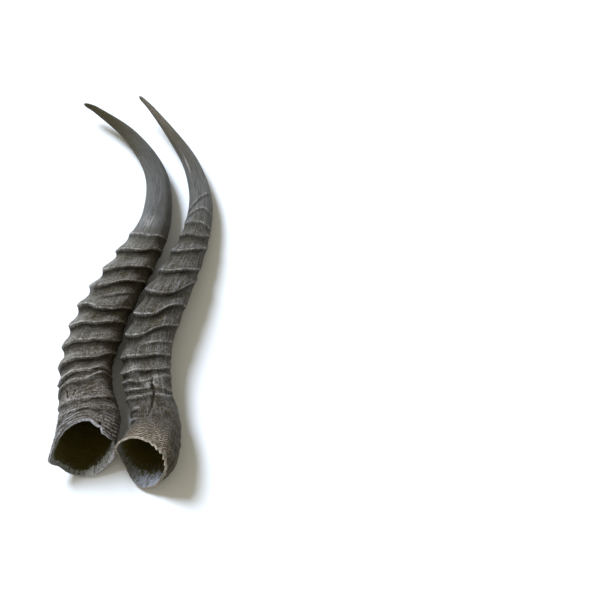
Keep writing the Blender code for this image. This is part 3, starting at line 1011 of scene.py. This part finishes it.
RIGHT_SIZES = Sizes(
    stations=RIGHT_RUN,
    shift=RIGHT_SHIFT,
    rim=RIGHT_RIM,
    corners=RIGHT_CORNERS,
    tears=(
        (0, 0.8), (12, -0.6), (19, 0.8), (27, -0.6), (33, 1.0), (39, -0.8), (46, 1.1), (52, -0.4),
        (57, 0.7), (62, -0.7), (68, 0.6), (75, -0.3), (82, 0.5), (90, -0.2), (285, 0), (318, 2.6),
        (342, 1.2),
    ),
    wall=RIGHT_WALL,
    thicker=((0, 0), (90, 0.5), (180, 0)),
    hollow_end=RIGHT_HOLLOW_END,
    rings=RIGHT_RINGS,
    valleys=0.55,
    swells=(
        Swell(180, 205, -0.8, 60, 60),
        Swell(180, 130, -0.5, 50, 20),
        Swell(0, 98, 0.9, 45, 10),
        Swell(0, 68, -2.0, 45, 12),
        Swell(0, 44, 1.4, 40, 12),
        Swell(356, 28, 1.2, 40, 8),
        Swell(180, 50, -1.8, 40, 13),
        Swell(0, 300, -0.8, 60, 45),
    ),
    # How far in the pale lining reaches and how pale it is; the paleness is partly painted light on the lower
    # wall.
    lining=(
        (20, 3, 0.3), (60, 2, 0.1), (120, 2, 0.1), (180, 5, 0.1), (215, 8, 0.15), (240, 11, 0.2),
        (262, 15, 0.65), (285, 18, 0.95), (310, 18, 1.0), (330, 13, 0.9), (345, 8, 0.6),
    ),
    bare=(
        (10, 0.2), (32, 0.55), (44, 0.3), (52, 0.9), (60, 0.5), (68, 1.0), (78, 0.75), (88, 1.0),
        (120, 0.8), (150, 0.9), (178, 0.85), (195, 0.35), (208, 0.05), (255, 0.05), (285, 0.25),
        (320, 0.4), (345, 0.25),
    ),
    flaking=((62, 28, 1.3), (104, 30, 0.9), (350, 20, 0.4)),
    layer_gap=1.25,
    cuts=(
        Cut(
            ((74, 79.2), (77, 75.4), (77, 72), (75.5, 68), (80, 62.5), (87, 57), (95, 52.3), (100, 49.5)),
            0.5, 1.1,
        ),
        Cut(((76, 68.5), (79, 64.5), (84, 60), (88, 57)), 1.0, 1.5),
        Cut(((77, 72.8), (77, 71.6)), 1.6, 2.3),
    ),
    # Patches of painted shade on the right side and along the left side.
    grime=(
        Patch(358, 32, 48, 32, 1.3),
        Patch(352, 150, 30, 70, 0.55),
        Patch(356, 62, 36, 24, 0.8),
        Patch(195, 70, 34, 34, 0.6),
        Patch(4, 236, 32, 22, 0.85),
        Patch(176, 332, 36, 40, 0.9),
        Patch(180, 250, 22, 40, 0.7),
    ),
    scuffs=(
        Patch(122, 283, 5, 13, 0.8),
        Patch(82, 75, 14, 2.6, 0.9),
        Patch(60, 78, 12, 3.0, 0.5),
        Patch(95, 345, 60, 26, 0.35),
        Patch(120, 90, 16, 5, 0.4),
    ),
    seed=500,
)
right_horn = make_horn(
    "right_horn",
    RIGHT_SIZES,
    {
        "deep": (0.066, 0.056, 0.028),
        "body": (0.130, 0.128, 0.126),
        "base": (0.33, 0.28, 0.235),
        "brown": (0.115, 0.084, 0.046),
        "smooth": (0.122, 0.122, 0.118),
        "pale": (0.30, 0.30, 0.315),
        # painted shade for the shaded sides
        "grime": (0.046, 0.034, 0.002),
        "tip": (0.118, 0.092, 0.045),
        # pale of wear, and of the painted highlight on the crests
        "wear_and_highlight": (0.58, 0.57, 0.57),
        "rim": (0.96, 0.87, 0.76),
        "rim_stain": (0.19, 0.130, 0.070),
        # pale lining, partly painted light on the wall that faces up
        "lining": (0.39, 0.41, 0.49),
        # duller grey deeper in the hollow, partly painted shade
        "inner": (0.105, 0.105, 0.078),
        # painted shade inside the cuts
        "cut_shade": (0.030, 0.021, 0.011),
    },
    across=0.6,
    lengthwise=1.0,
)
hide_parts("horn_right")
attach(right_horn, "root")

# --------------------------------------------------------------------------------------------------
# The floor: a plain near-white sweep that the horns lie on. It isn't part of them.
# --------------------------------------------------------------------------------------------------

bpy.ops.object.select_all(action="DESELECT")
bpy.ops.mesh.primitive_plane_add(size=40.0, location=(0, 0, 0))
floor = bpy.context.object
floor.name = floor.data.name = "floor"
floor_finish = bpy.data.materials.new("floor_white")
floor_finish.use_nodes = True
floor_shader = floor_finish.node_tree.nodes["Principled BSDF"]
floor_shader.inputs["Base Color"].default_value = (0.86, 0.90, 0.97, 1)
floor_shader.inputs["Roughness"].default_value = 0.9
floor.data.materials.append(floor_finish)

# --------------------------------------------------------------------------------------------------
# The light: soft warm light all round, and one broad, cool and soft lamp far behind at the upper left.
# --------------------------------------------------------------------------------------------------

room = bpy.data.worlds.new("room")
room.use_nodes = True
room_sheet = room.node_tree
room_light = room_sheet.nodes["Background"]
ways = put(room_sheet, "ShaderNodeTexCoord").outputs["Generated"]
upward = put(room_sheet, "ShaderNodeSeparateXYZ", {0: ways}).outputs["Z"]
white_horizon, warm_ceiling = (2.5, 2.5, 2.5, 1), (1.02, 0.93, 0.70, 1)
glow = blend_node(room_sheet, span_node(room_sheet, upward, 0.05, 0.16), white_horizon, warm_ceiling)
room_sheet.links.new(glow, room_light.inputs["Color"])
room_light.inputs["Strength"].default_value = 0.42
bpy.context.scene.world = room

daylight = bpy.data.lights.new("soft_window", "SUN")
daylight.energy, daylight.angle, daylight.color = 5.2, math.radians(22), (0.87, 0.94, 1.03)
window = bpy.data.objects.new("soft_window", daylight)
window.location = (-0.75, 0.95, 1.05)
window.rotation_euler = (-window.location).to_track_quat("-Z", "Y").to_euler()
bpy.context.scene.collection.objects.link(window)

# --------------------------------------------------------------------------------------------------
# The camera: 79 cm from the floor point it looks at, 65 degrees above the horizon.
# --------------------------------------------------------------------------------------------------

lens = bpy.data.cameras.new("camera")
lens.lens, lens.sensor_width = 60, 36
camera = bpy.data.objects.new("camera", lens)
camera.location = (0.127135, -0.348050, 0.715980)
camera.rotation_euler = (math.radians(25), 0, 0)
bpy.context.scene.collection.objects.link(camera)
bpy.context.scene.camera = camera
bpy.context.scene.view_settings.view_transform = "Standard"
